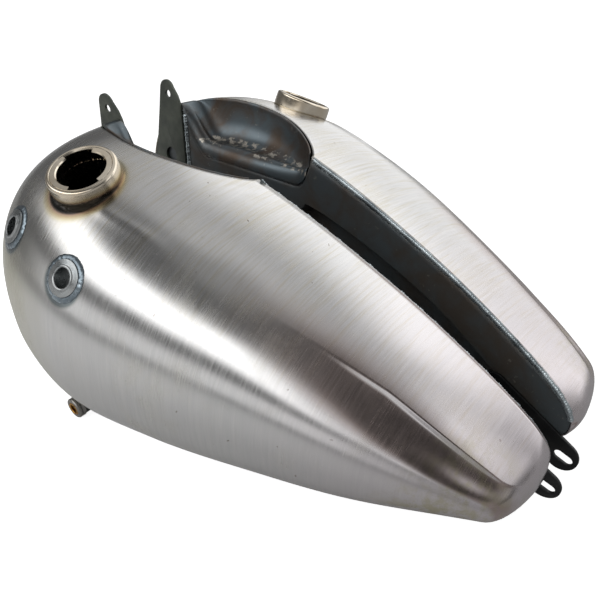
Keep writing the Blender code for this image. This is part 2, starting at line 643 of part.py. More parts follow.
def outlet(half, skin_part):
    """Cross-over fitting: barrel through the skin's lower corner, steel collar, brass insert."""
    placement = axis_matrix(half, OUTLET_AT, (0, 1, 0))
    wall_end = -COLLAR_LENGTH - FIT
    turned(half, "outlet_body", [(OUTLET_BORE, -OUTLET_LENGTH), (OUTLET_BORE, wall_end),
                                 (OUTLET_RADIUS, wall_end), (OUTLET_RADIUS, -OUTLET_LENGTH)],
           placement, STRAP_STEEL, steps=24)
    step, groove = COLLAR_RADIUS - 1.2 * MM, 2.2 * MM
    turned(half, "outlet_collar", [(OUTLET_BORE, -COLLAR_LENGTH), (OUTLET_BORE, 0), (step, 0),
                                   (COLLAR_RADIUS, -0.8 * MM), (COLLAR_RADIUS, -groove),
                                   (step, -groove - 0.4 * MM), (step, -groove - 1.2 * MM),
                                   (COLLAR_RADIUS, -groove - 1.6 * MM), (COLLAR_RADIUS, -COLLAR_LENGTH)],
           placement, WELD_STEEL, steps=24)
    insert = OUTLET_BORE - FIT
    turned(half, "outlet_insert", [(INSERT_BORE, -INSERT_LENGTH), (INSERT_BORE, 0.2 * MM), (insert, 0.2 * MM),
                                   (insert, -INSERT_LENGTH)], placement, BRASS, steps=24)
    cut_round(half, skin_part, "outlet_hole", placement, OUTLET_RADIUS + FIT, -2 * OUTLET_LENGTH, 0)


def tap_bung(half, skin_part):
    """Threaded ring in the belly's lowest stretch, standing a little proud of it."""
    s, out = BUNG_AT
    angle = -float(angle_at(out / section(np.array(s))[2]))
    point, _, _, normal = skin_frame(s, angle)
    placement = axis_matrix(half, point, normal)
    chamfer = 0.8 * MM
    profile = [(BUNG_BORE, BUNG_STANDS - BUNG_LENGTH), (BUNG_BORE, BUNG_STANDS),
               (BUNG_RADIUS - chamfer, BUNG_STANDS), (BUNG_RADIUS, BUNG_STANDS - chamfer),
               (BUNG_RADIUS, BUNG_STANDS - BUNG_LENGTH)]
    turned(half, "tap_bung", profile, placement, BOSS_STEEL)
    cut_round(half, skin_part, "bung_hole", placement, BUNG_RADIUS + FIT, -2 * BUNG_LENGTH, 2 * BUNG_LENGTH)


# ---- brackets and welds -------------------------------------------------------------------------------
def front_bracket(half):
    """Tapering upright plate, rounded at the top, with a bolt hole and a larger window."""
    waist_front, waist_rear, waist = EAR_WAIST
    foot_front, foot_rear, foot = EAR_FOOT
    corner = 6 * MM
    outline = arc(EAR_TOP, EAR_TOP_RADIUS, radians(25), radians(170), 9)
    outline += [(waist_front, waist), (foot_front, foot + corner)]
    outline += arc((foot_front + corner, foot + corner), corner, radians(200), radians(270), 4)
    outline += arc((foot_rear - corner, foot + corner), corner, radians(270), radians(360), 4)
    outline += [(waist_rear, waist)] + EAR_SHOULDER
    hole = arc(EAR_HOLE, EAR_HOLE_RADIUS, 0, 2 * pi * 15 / 16, 16)
    window = arc(EAR_WINDOW, EAR_WINDOW_RADIUS, 0, 2 * pi * 23 / 24, 24)
    plate(half, "front_bracket", [outline, hole, window], EAR_STEEL)
    run = np.linspace(0, 1, 10)[:, None]
    clear = BEAD + FIT
    top, low = np.array([waist_rear + clear, waist]), np.array([foot_rear + clear, foot + corner])
    bead(half, "bracket_weld", top + (low - top) * run)


def rear_strap(half):
    """Flat strap with round ends along the inner panel, its bolt slot below the tail."""
    run = atan2(STRAP_END[1] - STRAP_FRONT[1], STRAP_END[0] - STRAP_FRONT[0])
    outline = arc(STRAP_END, STRAP_RADIUS, run - pi / 2, run + pi / 2, 12)
    outline += arc(STRAP_FRONT, STRAP_RADIUS, run + pi / 2, run + 3 * pi / 2, 12)
    reach, radius = (SLOT_LENGTH - SLOT_WIDTH) / 2, SLOT_WIDTH / 2
    middle = (STRAP_END[0] + SLOT_PAST * cos(run), STRAP_END[1] + SLOT_PAST * sin(run))
    slot = []
    for side in (0, pi):
        centre = (middle[0] + reach * cos(SLOT_TILT + side), middle[1] + reach * sin(SLOT_TILT + side))
        slot += arc(centre, radius, SLOT_TILT + side - pi / 2, SLOT_TILT + side + pi / 2, 8)
    plate(half, "rear_strap", [outline, slot], STRAP_STEEL)


def seam_welds(half):
    """Beads over the joint of skin and panel: along the top to the tail, and along the bottom."""
    joint = SHEET + FIT / 2
    s = np.concatenate([np.linspace(RECESS_REAR + 4 * MM, LENGTH - TAIL_ROUND, 26),
                        LENGTH - TAIL_ROUND + TAIL_ROUND * np.sin(np.linspace(0.2, 1.25, 5))])
    bead(half, "top_seam_weld", seam_loop(s, joint + BEAD * 0.4)[0])
    start, end = 0.25 * NOSE_ROUND, STRAP_FRONT[0] - 1.5 * STRAP_RADIUS
    bead(half, "bottom_seam_weld", seam_loop(np.linspace(start, end, 26), joint + BEAD * 0.4)[1])


# ---- the pair -----------------------------------------------------------------------------------------
def stand(halves):
    """Set both halves on their bellies, centred fore and aft on the length from nose to strap end."""
    s, angle = np.meshgrid(columns(), np.linspace(-pi / 2, pi / 2, 90))
    points = skin(s, angle)
    out = points[..., 1] * cos(LEAN_OUT) + points[..., 2] * sin(LEAN_OUT)
    floor = (points[..., 2] * cos(LEAN_OUT) - points[..., 1] * sin(LEAN_OUT)).min()
    nose = (swept(points[..., 0], points[..., 1]) * cos(TOE_IN) + out * sin(TOE_IN)).min()
    tail = (STRAP_END[0] + STRAP_RADIUS) * cos(TOE_IN)
    for half in halves:
        half.empty.location = (-(nose + tail) / 2, half.out * HALF_GAP, -floor)


def build():
    halves = [Half("left", -1), Half("right", 1)]
    for half in halves:
        skin_part = outer_skin(half)
        inner_panel(half)
        recess_pan(half)
        filler_neck(half, skin_part)
        outlet(half, skin_part)
        front_bracket(half)
        rear_strap(half)
        seam_welds(half)
        if half.name == "left":
            for name, s, out in BOSSES:
                side_boss(half, skin_part, name, s, out)
            tap_bung(half, skin_part)
    stand(halves)


build()
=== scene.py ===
# %% [markdown]
# # A split motorcycle fuel tank in bare steel
# This lesson dresses a imported CAD model of a fuel tank: two pressed steel halves that hang either side of a frame
# tube. The CAD holds every piece at its real size. Here each piece gets a finer surface and the finish of the
# real metal: brushed steel outside, dark mill scale inside, turned necks, welded beads.

# %% Load the CAD frame
from math import atan2, cos, pi, radians, sin

import bmesh
import bpy
import numpy as np
from mathutils import Matrix


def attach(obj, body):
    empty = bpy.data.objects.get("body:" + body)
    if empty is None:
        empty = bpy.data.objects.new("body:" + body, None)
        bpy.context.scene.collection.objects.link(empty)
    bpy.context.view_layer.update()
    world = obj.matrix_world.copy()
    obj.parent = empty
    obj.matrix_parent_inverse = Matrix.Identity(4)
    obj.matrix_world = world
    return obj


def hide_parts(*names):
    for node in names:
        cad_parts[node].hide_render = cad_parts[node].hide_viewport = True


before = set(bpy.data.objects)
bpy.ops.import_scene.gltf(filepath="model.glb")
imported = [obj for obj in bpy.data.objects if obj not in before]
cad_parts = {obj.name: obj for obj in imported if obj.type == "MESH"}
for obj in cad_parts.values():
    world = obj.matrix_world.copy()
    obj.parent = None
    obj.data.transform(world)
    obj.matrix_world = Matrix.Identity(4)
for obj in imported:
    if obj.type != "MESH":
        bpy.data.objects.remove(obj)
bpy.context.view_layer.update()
MM = 0.001

# %% [markdown]
# ## The camera
# The photograph looks down on the tank from its left side, a little in front of the middle. A lens of 37.2 mm on
# a 36 mm sensor sees the tank from about 0.6 m away, so the near nose looks much larger than the far tail.

# %% Place the camera by its viewing angle
azimuth, elevation = radians(39.97), radians(32.26)
back = np.array([sin(azimuth) * cos(elevation), -cos(azimuth) * cos(elevation), sin(elevation)])
right = np.array([cos(azimuth), sin(azimuth), 0.0])
above = np.cross(back, right)
camera = bpy.data.objects.new("camera", bpy.data.cameras.new("camera"))
camera.data.lens, camera.data.sensor_width = 37.2, 36.0
camera.data.clip_start = 0.01
bpy.context.scene.collection.objects.link(camera)
camera.matrix_world = Matrix([[right[k], above[k], back[k], spot] for k, spot in enumerate((0.3326, -0.4007, 0.4123))]
                             + [[0, 0, 0, 1]])
bpy.context.scene.camera = camera
print("camera height:", round(camera.location.z, 3), "m")

# %% [markdown]
# ## Helpers for materials
# A material is a small graph of nodes. One function turns a hex colour into the linear numbers that Blender
# works in, and one adds a node with its settings and its incoming links.


# %% Colours and nodes
def rgb(code):
    """sRGB hex to linear red, green, blue, alpha: a power curve with a short straight start."""
    values = [int(code[k:k + 2], 16) / 255 for k in (0, 2, 4)]
    return [v / 12.92 if v <= 0.04045 else ((v + 0.055) / 1.055) ** 2.4 for v in values] + [1.0]


def node(tree, kind, inputs=(), **settings):
    """One node: settings are its properties, inputs a dict of socket name or number to a value or a link."""
    made = tree.nodes.new(kind)
    for name, value in settings.items():
        setattr(made, name, value)
    for name, value in dict(inputs).items():
        socket = made.inputs[name]
        if isinstance(value, bpy.types.NodeSocket):
            tree.links.new(value, socket)
        else:
            socket.default_value = value
    return made


def times(tree, first, second):
    """Product of two values, each a number or a link."""
    return node(tree, "ShaderNodeMath", {0: first, 1: second}, operation="MULTIPLY").outputs[0]


def new_material(name):
    """A node material with its default shader: returns the material, its tree and the Principled node."""
    made = bpy.data.materials.new(name)
    made.use_nodes = True
    return made, made.node_tree, made.node_tree.nodes["Principled BSDF"]


# %% [markdown]
# ## Light, floor and background
# Bare metal shows the room more than itself, so the room is the light. Each patch below is a soft-edged piece of
# it, given by its direction and half size in degrees: a long lamp on the left, a pale sheet behind the tank, a
# dimmer wall by its tail, a soft card low on the left and a pale ceiling. One patch is a black flag, which takes
# light away and darkens the band under the ridge. The camera itself sees white. The floor is paper that keeps the
# tank's light shadow.


# %% The room as patches of light
def patch(tree, azimuth, elevation, total, at, size, soft, radiance):
    """Adds a rectangle in angles to the total: full within size of its middle, then a smooth edge soft degrees
    wide. A negative radiance takes light away."""
    level = radiance
    for angle, middle, half, edge in zip((azimuth, elevation), at, size, soft):
        away = node(tree, "ShaderNodeMath", {0: angle, 1: radians(middle)}, operation="SUBTRACT").outputs[0]
        away = node(tree, "ShaderNodeMath", {0: away, 1: pi, 2: -pi}, operation="WRAP").outputs[0]
        away = node(tree, "ShaderNodeMath", {0: away}, operation="ABSOLUTE").outputs[0]
        inside = node(tree, "ShaderNodeMapRange", {"Value": away, "From Min": radians(half + edge),
                                                   "From Max": radians(half)}, interpolation_type="SMOOTHSTEP")
        level = times(tree, inside.outputs[0], level)
    return node(tree, "ShaderNodeMath", {0: total, 1: level}, operation="ADD").outputs[0]


world = bpy.data.worlds.new("studio")
bpy.context.scene.world = world
world.use_nodes = True
tree = world.node_tree
tree.nodes.clear()
parts = node(tree, "ShaderNodeSeparateXYZ", {0: node(tree, "ShaderNodeTexCoord").outputs["Generated"]})
azimuth = node(tree, "ShaderNodeMath", {0: parts.outputs["Y"], 1: parts.outputs["X"]}, operation="ARCTAN2").outputs[0]
elevation = node(tree, "ShaderNodeMath", {0: parts.outputs["Z"]}, operation="ARCSINE").outputs[0]
room = 0.14
for at, size, soft, radiance in (((-115, 40), (33, 6), (25, 10), 2.3),    # long lamp
                                 ((-56, 40), (11, 8), (12, 8), 0.74),          # its dim end
                                 ((92, 18), (32, 26), (16, 22), 1.10),        # pale sheet behind
                                 ((29, 30), (7, 14), (9, 12), 0.72),          # wall by the tail
                                 ((52, 16), (8, 14), (10, 10), 0.26),         # the wall's dim side
                                 ((-104, -6), (22, 16), (34, 9), 0.82),      # low card
                                 ((-32, 10), (30, 16), (20, 12), 0.24),       # corner behind the card
                                 ((-14, 46), (14, 8), (10, 6), -0.08),        # black flag in front of the room
                                 ((97, 58), (72, 17), (18, 14), 0.46),        # pale ceiling towards the back
                                 ((0, 90), (180, 10), (1, 10), 0.22)):        # and straight above
    room = patch(tree, azimuth, elevation, room, at, size, soft, radiance)
seen = node(tree, "ShaderNodeLightPath").outputs["Is Camera Ray"]
level = node(tree, "ShaderNodeMix", {0: seen, 2: room, 3: 1.0}, data_type="FLOAT")
sky = node(tree, "ShaderNodeBackground", {"Color": (1, 1, 1, 1), "Strength": level.outputs[0]})
node(tree, "ShaderNodeOutputWorld", {"Surface": sky.outputs[0]})

# %% White paper floor
floor_mesh = bpy.data.meshes.new("floor")
FLOOR_HALF, FLOOR_HEIGHT = 6.0, -0.0005     # half a millimetre under the bellies
corners = [(x * FLOOR_HALF, y * FLOOR_HALF, FLOOR_HEIGHT) for x, y in ((-1, -1), (1, -1), (1, 1), (-1, 1))]
floor_mesh.from_pydata(corners, [], [(0, 1, 2, 3)])
floor = bpy.data.objects.new("floor", floor_mesh)
bpy.context.scene.collection.objects.link(floor)
floor_paint, tree, shader = new_material("white_paper")
# painted light on the paper: white by the left nose, where the belly mirrors it, and painted grey shade elsewhere
where = node(tree, "ShaderNodeTexCoord").outputs["Object"]
beside = node(tree, "ShaderNodeVectorMath", {0: where, 1: (-0.30, -0.50, 0.0)}, operation="DISTANCE").outputs["Value"]
near = node(tree, "ShaderNodeMapRange", {"Value": beside, "From Min": 0.80, "From Max": 0.25}).outputs[0]
paper = node(tree, "ShaderNodeMix", {0: near, 6: rgb("ACACAC"), 7: rgb("FFFFFF")}, data_type="RGBA").outputs[2]
tree.links.new(paper, shader.inputs["Base Color"])
shader.inputs["Roughness"].default_value = 0.9
# only the camera sees the paper glow, so its far edge goes to pure white
glow = node(tree, "ShaderNodeEmission", {"Color": (1, 1, 1, 1), "Strength": 0.87})
lit = node(tree, "ShaderNodeAddShader", {0: shader.outputs[0], 1: glow.outputs[0]})
seen = node(tree, "ShaderNodeLightPath").outputs["Is Camera Ray"]
either = node(tree, "ShaderNodeMixShader", {0: seen, 1: shader.outputs[0], 2: lit.outputs[0]})
tree.links.new(either.outputs[0], tree.nodes["Material Output"].inputs["Surface"])
floor_mesh.materials.append(floor_paint)
print("world nodes:", len(world.node_tree.nodes))

# %% [markdown]
# ## Finish: bare brushed steel
# The outer skins are deep-drawn mild steel, sanded across the tank's length and left bare. Fine scratches run
# across, so they are stretched noise: short along X, long along Y and Z. They spread every highlight sideways and
# give the eye the direction of the sanding. Heat from welding leaves straw, brown and blue rings round the
# fittings, and handling leaves faint smudges. Painted shade darkens the skin in three places: a near-black painted
# shadow and a dark brown painted reflection close round each neck, a brown band under the tail's ridge, and,
# with a real straw tone, the side faces of the nose.


# %% Small steps that the finishes share
def ring_distance(tree, position, spot, both_sides):
    """Distance in metres from a spot; with both_sides, Y loses its sign so that both halves share it."""
    if both_sides:
        position = node(tree, "ShaderNodeVectorMath", {0: position}, operation="ABSOLUTE").outputs[0]
        spot = tuple(abs(c) for c in spot)
    return node(tree, "ShaderNodeVectorMath", {0: position, 1: spot}, operation="DISTANCE").outputs["Value"]


def blend(tree, amount, first, second):
    """Mix of two colours, either of which may be a value or a link."""
    return node(tree, "ShaderNodeMix", {0: amount, 6: first, 7: second}, data_type="RGBA").outputs[2]


def ramp(tree, value, stops, colours):
    """Colour ramp through the given stops."""
    made = node(tree, "ShaderNodeValToRGB", {0: value})
    band = made.color_ramp
    while len(band.elements) < len(stops):
        band.elements.new(0.5)
    for element, stop, colour in zip(band.elements, stops, colours):
        element.position, element.color = stop, rgb(colour)
    return made.outputs[0]


def remap(tree, value, low, high, to_low=0.0, to_high=1.0):
    """Straight rescaling of a value from one range to another, held at its ends."""
    return node(tree, "ShaderNodeMapRange", {"Value": value, "From Min": low, "From Max": high,
                                             "To Min": to_low, "To Max": to_high}).outputs[0]


def noise(tree, vector, scale, detail, roughness=0.5, distortion=0.0):
    """Noise value; detail adds finer octaves, each roughness times as strong as the last."""
    return node(tree, "ShaderNodeTexNoise", {"Vector": vector, "Scale": scale, "Detail": detail,
                                             "Roughness": roughness, "Distortion": distortion}).outputs[0]


def along_brush(tree, where, across, along):
    """Coordinates for sanding marks: this many periods a metre across them and along them, laid 9 degrees off
    square to the tank's length."""
    return node(tree, "ShaderNodeMapping", {"Vector": where, "Scale": (across, along, along),
                                            "Rotation": (0, 0, radians(9))}).outputs[0]


# %% Brushed steel
NECK_SPOT = (-0.1171, 0.1435, 0.2190)      # where the neck meets the skin; Y is taken without its sign
LOW_SMUDGE = (0.2080, 0.0880, 0.0370)      # under the tail
BOSS_SPOTS = [(-0.1657, -0.1934, 0.1819), (-0.0772, -0.2045, 0.1684)]

brushed_steel, tree, shader = new_material("brushed_bare_steel")
where = node(tree, "ShaderNodeTexCoord").outputs["Object"]
x_place = node(tree, "ShaderNodeSeparateXYZ", {0: where}).outputs["X"]
normal = node(tree, "ShaderNodeNewGeometry").outputs["Normal"]
facing = node(tree, "ShaderNodeSeparateXYZ", {0: normal}).outputs["Z"]
sideways = node(tree, "ShaderNodeVectorMath", {0: normal}, operation="ABSOLUTE").outputs[0]
sideways = node(tree, "ShaderNodeSeparateXYZ", {0: sideways}).outputs["Y"]

# grit of about 0.3 mm, drawn 0.8 mm wide so that it shows; scratches some 30 mm long
scratch = noise(tree, along_brush(tree, where, 1250, 34), 1.0, 3.0, 0.7)
streak = noise(tree, along_brush(tree, where, 330, 14), 1.0, 5.0, 0.65)
rub = noise(tree, along_brush(tree, where, 420, 17), 1.0, 4.0, 0.7)
smudge = noise(tree, where, 16.0, 4.0, 0.62, 0.4)
mottle = noise(tree, where, 70.0, 4.0, 0.7)
speck = noise(tree, where, 230.0, 2.0)

# clean steel in two greys, then handling: warm smudges, sanding dust on the upper faces, scratches, rust specks
grey = blend(tree, remap(tree, streak, 0.32, 0.68), rgb("C6C6C6"), rgb("CECDCC"))
grey = blend(tree, remap(tree, smudge, 0.50, 0.72, 0, 0.35), grey, rgb("C7C1B0"))
rub = times(tree, remap(tree, rub, 0.48, 0.72, 0, 0.65), remap(tree, facing, 0.60, 0.85))
grey = blend(tree, rub, grey, rgb("B8B09A"))
grey = blend(tree, remap(tree, scratch, 0.35, 0.62, 0.28, 0), grey, rgb("B2B1B0"))
grey = blend(tree, remap(tree, speck, 0.74, 0.79, 0, 0.7), grey, rgb("6D604E"))

# the tail is faintly pink; the band under its ridge, picked out by which way the skin faces, is painted a darker
# brown as painted shade for the dark reflection there
grey = blend(tree, remap(tree, x_place, 0.08, 0.26, 0, 0.5), grey, rgb("CDC0C6"))
brown = times(tree, remap(tree, x_place, 0.03, 0.13, 0, 0.75), remap(tree, sideways, 0.20, 0.34))
brown = times(tree, brown, remap(tree, sideways, 0.62, 0.50))
grey = blend(tree, brown, grey, rgb("A28F89"))

# old oil: mottled yellow under the tail. The front of the nose is a darker straw on its side faces, fading on its
# upper faces: partly a real straw tone, partly painted shade
stain = times(tree, remap(tree, ring_distance(tree, where, LOW_SMUDGE, True), 0.070, 0.030),
              remap(tree, mottle, 0.44, 0.60))
grey = blend(tree, stain, grey, rgb("ACA680"))
straw = times(tree, remap(tree, x_place, -0.085, -0.17, 0, 0.75), remap(tree, facing, 0.8, 0.3))
grey = blend(tree, straw, grey, rgb("A29E84"))

# round the necks: a near-black line at the neck's foot is painted shadow and the dark brown beside it a painted
# reflection of the neck, then real heat rings of brown and straw; blue grey heat rings round the welded bosses
distance = ring_distance(tree, where, NECK_SPOT, True)
tint = ramp(tree, remap(tree, distance, 0.030, 0.040), (0.0, 0.09, 0.20, 0.40, 0.7, 1.0),
            ("120D0A", "45362D", "86705F", "9C8D70", "B5AE98", "C0BCB5"))
grey = blend(tree, remap(tree, distance, 0.036, 0.046, 0.95, 0.0), grey, tint)
for spot in BOSS_SPOTS:
    distance = ring_distance(tree, where, spot, False)
    tint = ramp(tree, remap(tree, distance, 0.017, 0.024), (0.0, 0.5, 1.0), ("5C666C", "7F8788", "BDBBB6"))
    grey = blend(tree, remap(tree, distance, 0.0205, 0.0235, 0.95, 0.0), grey, tint)
tree.links.new(grey, shader.inputs["Base Color"])
shine = node(tree, "ShaderNodeMath", {0: remap(tree, scratch, 0.3, 0.7, 0.17, 0.25),
                                      1: remap(tree, smudge, 0.45, 0.75, 0.0, 0.10)}, operation="ADD").outputs[0]
tree.links.new(shine, shader.inputs["Roughness"])
bump = node(tree, "ShaderNodeBump", {"Height": scratch, "Distance": 0.00003, "Strength": 0.32})
broad = node(tree, "ShaderNodeBump", {"Height": streak, "Distance": 0.00010, "Strength": 0.22,
                                      "Normal": bump.outputs[0]})
tree.links.new(broad.outputs[0], shader.inputs["Normal"])
shader.inputs["Metallic"].default_value = 1.0
shader.inputs["Anisotropic"].default_value = 0.3
print("nodes in the brushed steel:", len(tree.nodes))

# %% [markdown]
# ## Finish: mill scale, plates and turned metal
# Sheet straight from the rolling mill keeps a thin blue-black oxide skin. It is smooth and half glossy, so it
# mirrors the room darkly, a little brown where it was handled or heated, and pale where the scale has flaked off.


# %% Mill scale
def mill(name, cool, warm, worn, rough, metallic, rubbed=None):
    """Oxide skin: two clouded tones, pale flakes, a clouded sheen; a rubbed height shows dull flaked metal."""
    made, tree, shader = new_material(name)
    where = node(tree, "ShaderNodeTexCoord").outputs["Object"]
    cloud = noise(tree, where, 24.0, 5.0, 0.6, 0.6)
    flake = noise(tree, where, 150.0, 4.0, 0.7)
    tone = blend(tree, remap(tree, cloud, 0.40, 0.64), rgb(cool), rgb(warm))
    tone = blend(tree, remap(tree, flake, 0.64, 0.72, 0, 0.6), tone, rgb(worn))
    if rubbed:
        height = node(tree, "ShaderNodeSeparateXYZ", {0: where}).outputs["Z"]
        away = node(tree, "ShaderNodeMath", {0: height, 1: rubbed}, operation="SUBTRACT").outputs[0]
        away = node(tree, "ShaderNodeMath", {0: away}, operation="ABSOLUTE").outputs[0]
        band = times(tree, remap(tree, away, 0.0026, 0.0012), remap(tree, flake, 0.53, 0.58))
        tone = blend(tree, band, tone, rgb("B9B3A8"))
    tree.links.new(tone, shader.inputs["Base Color"])
    tree.links.new(remap(tree, cloud, 0.3, 0.7, rough, rough + 0.14), shader.inputs["Roughness"])
    bump = node(tree, "ShaderNodeBump", {"Height": flake, "Distance": 0.0002, "Strength": 0.22})
    tree.links.new(bump.outputs[0], shader.inputs["Normal"])
    shader.inputs["Metallic"].default_value = metallic
    return made


# the pans mirror the most, and a row of bare flecks runs along their lips, 198.5 mm up
pan_scale = mill("blue_black_mill_scale", "5C656A", "594E45", "A5A29A", 0.30, 0.80, rubbed=0.1985)
# weld metal blued by its own heat: bright, with paler crumbs
heat_blued = mill("heat_blued_weld", "8A969E", "5E676E", "E2E8EB", 0.22, 0.95)
# the panels are duller, a cold grey that keeps the gap between the halves dark
panel_scale = mill("dull_mill_scale", "53595C", "504A44", "8B8880", 0.36, 0.35)


# %% Plates and turned metal
def plain_metal(name, colour, worn, roughness, metallic, grain=220.0, depth=0.0001):
    """Satin metal or thin paint: two tones from fine noise, with a slight grain."""
    made, tree, shader = new_material(name)
    where = node(tree, "ShaderNodeTexCoord").outputs["Object"]
    cloud, grit = noise(tree, where, 45.0, 4.0), noise(tree, where, grain, 3.0)
    tree.links.new(blend(tree, remap(tree, cloud, 0.42, 0.68), rgb(colour), rgb(worn)), shader.inputs["Base Color"])
    tree.links.new(remap(tree, grit, 0.3, 0.7, roughness - 0.06, roughness + 0.06), shader.inputs["Roughness"])
    bump = node(tree, "ShaderNodeBump", {"Height": grit, "Distance": depth, "Strength": 0.3})
    tree.links.new(bump.outputs[0], shader.inputs["Normal"])
    shader.inputs["Metallic"].default_value = metallic
    return made


# hot-rolled plate: a dull green grey; the straps under the tail are almost black
olive_plate = plain_metal("olive_grey_plate", "4C504A", "5F635A", 0.42, 0.6)
black_strap = plain_metal("black_strap_steel", "1C1D1E", "2A2A2A", 0.42, 0.4)
# seam beads glitter cold and rough against the sheet
weld_metal = plain_metal("weld_metal", "C8D2D6", "6E767A", 0.30, 0.8, 500.0, 0.0003)
# machined steel, cut clean, so it is lighter and sharper than the sheet round it
boss_plating = plain_metal("machined_boss_steel", "A6A8A8", "8C9193", 0.30, 1.0, 400.0, 0.0001)
barrel_black = plain_metal("outlet_barrel_steel", "3A3B3A", "4A4843", 0.35, 0.8)
collar_steel = plain_metal("outlet_collar_steel", "9A9894", "6A6662", 0.30, 1.0)
brass = plain_metal("outlet_brass", "C79446", "9A642A", 0.28, 1.0)
# plated necks: the glossiest metal on the tank, with a warm cast
neck_nickel = plain_metal("turned_neck_nickel", "DDD3C2", "D2C4AE", 0.15, 1.0, 300.0, 0.00002)
print("materials:", len(bpy.data.materials))

# %% [markdown]
# ## The shape of a half
# A half is a loft: a column of the mesh stands at a distance s back from the nose, and its points run round a
# superellipse, flat against the inner panel. Its heights and width come from a table of stations, and the nose
# and tail round off by a superellipse of their own. These are the CAD's numbers, so both shapes agree, except that
# the valley under the ridge is shallower here: most of the dark band in the photograph is a reflection.

# %% The tables, in millimetres
LENGTH = 554.0
STATIONS = np.array([(0, 220, 35, 129, 0.37), (60, 236, 24, 156, 0.37), (110, 240, 12, 174, 0.37),
                     (190, 234, 0, 188, 0.37), (280, 210, 5, 176, 0.37), (370, 175, 15, 151, 0.37),
                     (460, 131, 29, 120, 0.38), (540, 80, 41, 80, 0.50), (554, 69, 43, 71, 0.50)])
NOSE_ROUND, NOSE_HEIGHT, TAIL_ROUND, TAIL_HEIGHT = 130.0, 141.0, 21.0, 56.0
NOSE_PLAN, NOSE_SIDE, TAIL_PLAN, TAIL_SIDE = 2.4, 2.1, 2.25, 3.0
SIDE_POWER, TOP_POWER, BOTTOM_POWER = 2.63, 2.48, 2.38
NOSE_SWEEP, TAIL_SWEEP = (24.0, 75.0, 100.0), (4.0, 30.0, 40.0)
RIDGE_START, RIDGE_FULL, RIDGE_TURN, VALLEY_DEPTH, VALLEY_ANGLE = 330.0, 480.0, 450.0, 3.0, radians(32)
CREASE_DEPTH, CREST_HEIGHT, CREST_ANGLE = 0.9, 0.6, 0.04
RECESS_FRONT, RECESS_REAR, RECESS_WIDTH = 59.0, 267.0, 47.0
TUNNEL_TOP = np.array([(84, 150), (96, 162), (135, 175), (160, 175), (293, 161), (347, 144), (420, 113),
                       (500, 62)], float)
SHEET, FIT = 1.5, 0.3
TOE, LEAN, PLACE = radians(1.11), radians(2.8), (-286.339, 30.3, 1.655)
SIDES = {"left": -1, "right": 1}


# %% Curves through a table, and the section at a distance
def smooth(t):
    """Slow-fast-slow step from 0 to 1."""
    t = np.clip(t, 0, 1)
    return t * t * (3 - 2 * t)


def through(table, column, s):
    """Cubic through a table's points, with each slope the mean of its neighbours' slopes."""
    xs, ys = table[:, 0], table[:, column]
    gaps = np.diff(xs)
    rises = np.diff(ys) / gaps
    slopes = np.concatenate([rises[:1], (rises[:-1] * gaps[1:] + rises[1:] * gaps[:-1]) / (gaps[1:] + gaps[:-1]),
                             rises[-1:]])
    i = np.clip(np.searchsorted(xs, s) - 1, 0, len(gaps) - 1)
    t = (np.clip(s, xs[0], xs[-1]) - xs[i]) / gaps[i]
    return (ys[i] * (1 + 2 * t) * (1 - t) ** 2 + slopes[i] * gaps[i] * t * (1 - t) ** 2
            + ys[i + 1] * t * t * (3 - 2 * t) + slopes[i + 1] * gaps[i] * t * t * (t - 1))


def section(s):
    """Top seam height, bottom seam height and width at s, rounded off at nose and tail."""
    nose, tail = np.clip(1 - s / NOSE_ROUND, 0, 1), np.clip(1 - (LENGTH - s) / TAIL_ROUND, 0, 1)
    top, low, width = (through(STATIONS, column, s) for column in (1, 2, 3))
    nose_side, tail_side = (1 - nose ** NOSE_SIDE) ** (1 / NOSE_SIDE), (1 - tail ** TAIL_SIDE) ** (1 / TAIL_SIDE)
    top, low = (NOSE_HEIGHT + (h - NOSE_HEIGHT) * nose_side for h in (top, low))
    top, low = (TAIL_HEIGHT + (h - TAIL_HEIGHT) * tail_side for h in (top, low))
    return top, low, width * (1 - nose ** NOSE_PLAN) ** (1 / NOSE_PLAN) * (1 - tail ** TAIL_PLAN) ** (1 / TAIL_PLAN)


def angle_at(share):
    """Angle round the section at which the skin lies this share of its width out."""
    return np.arccos(np.clip(share, 0, 1) ** (SIDE_POWER / 2))


def ridge_angle(s):
    """Angle of the pressed ridge, which moves outwards towards the tail."""
    return angle_at(0.62 + 0.15 * np.clip((s - RIDGE_TURN) / (LENGTH - RIDGE_TURN), 0, 1) ** 1.2)


def egg(s, angle):
    """Superellipse section, its widest line part of the way up: points (s, u, h)."""
    top, low, width = section(s)
    middle = low + through(STATIONS, 4, s) * (top - low)
    up = np.maximum(np.sin(angle), 0) ** (2 / TOP_POWER)
    down = np.maximum(-np.sin(angle), 0) ** (2 / BOTTOM_POWER)
    return np.stack([s + 0 * angle, width * np.abs(np.cos(angle)) ** (2 / SIDE_POWER),
                     middle + (top - middle) * up - (middle - low) * down], -1)


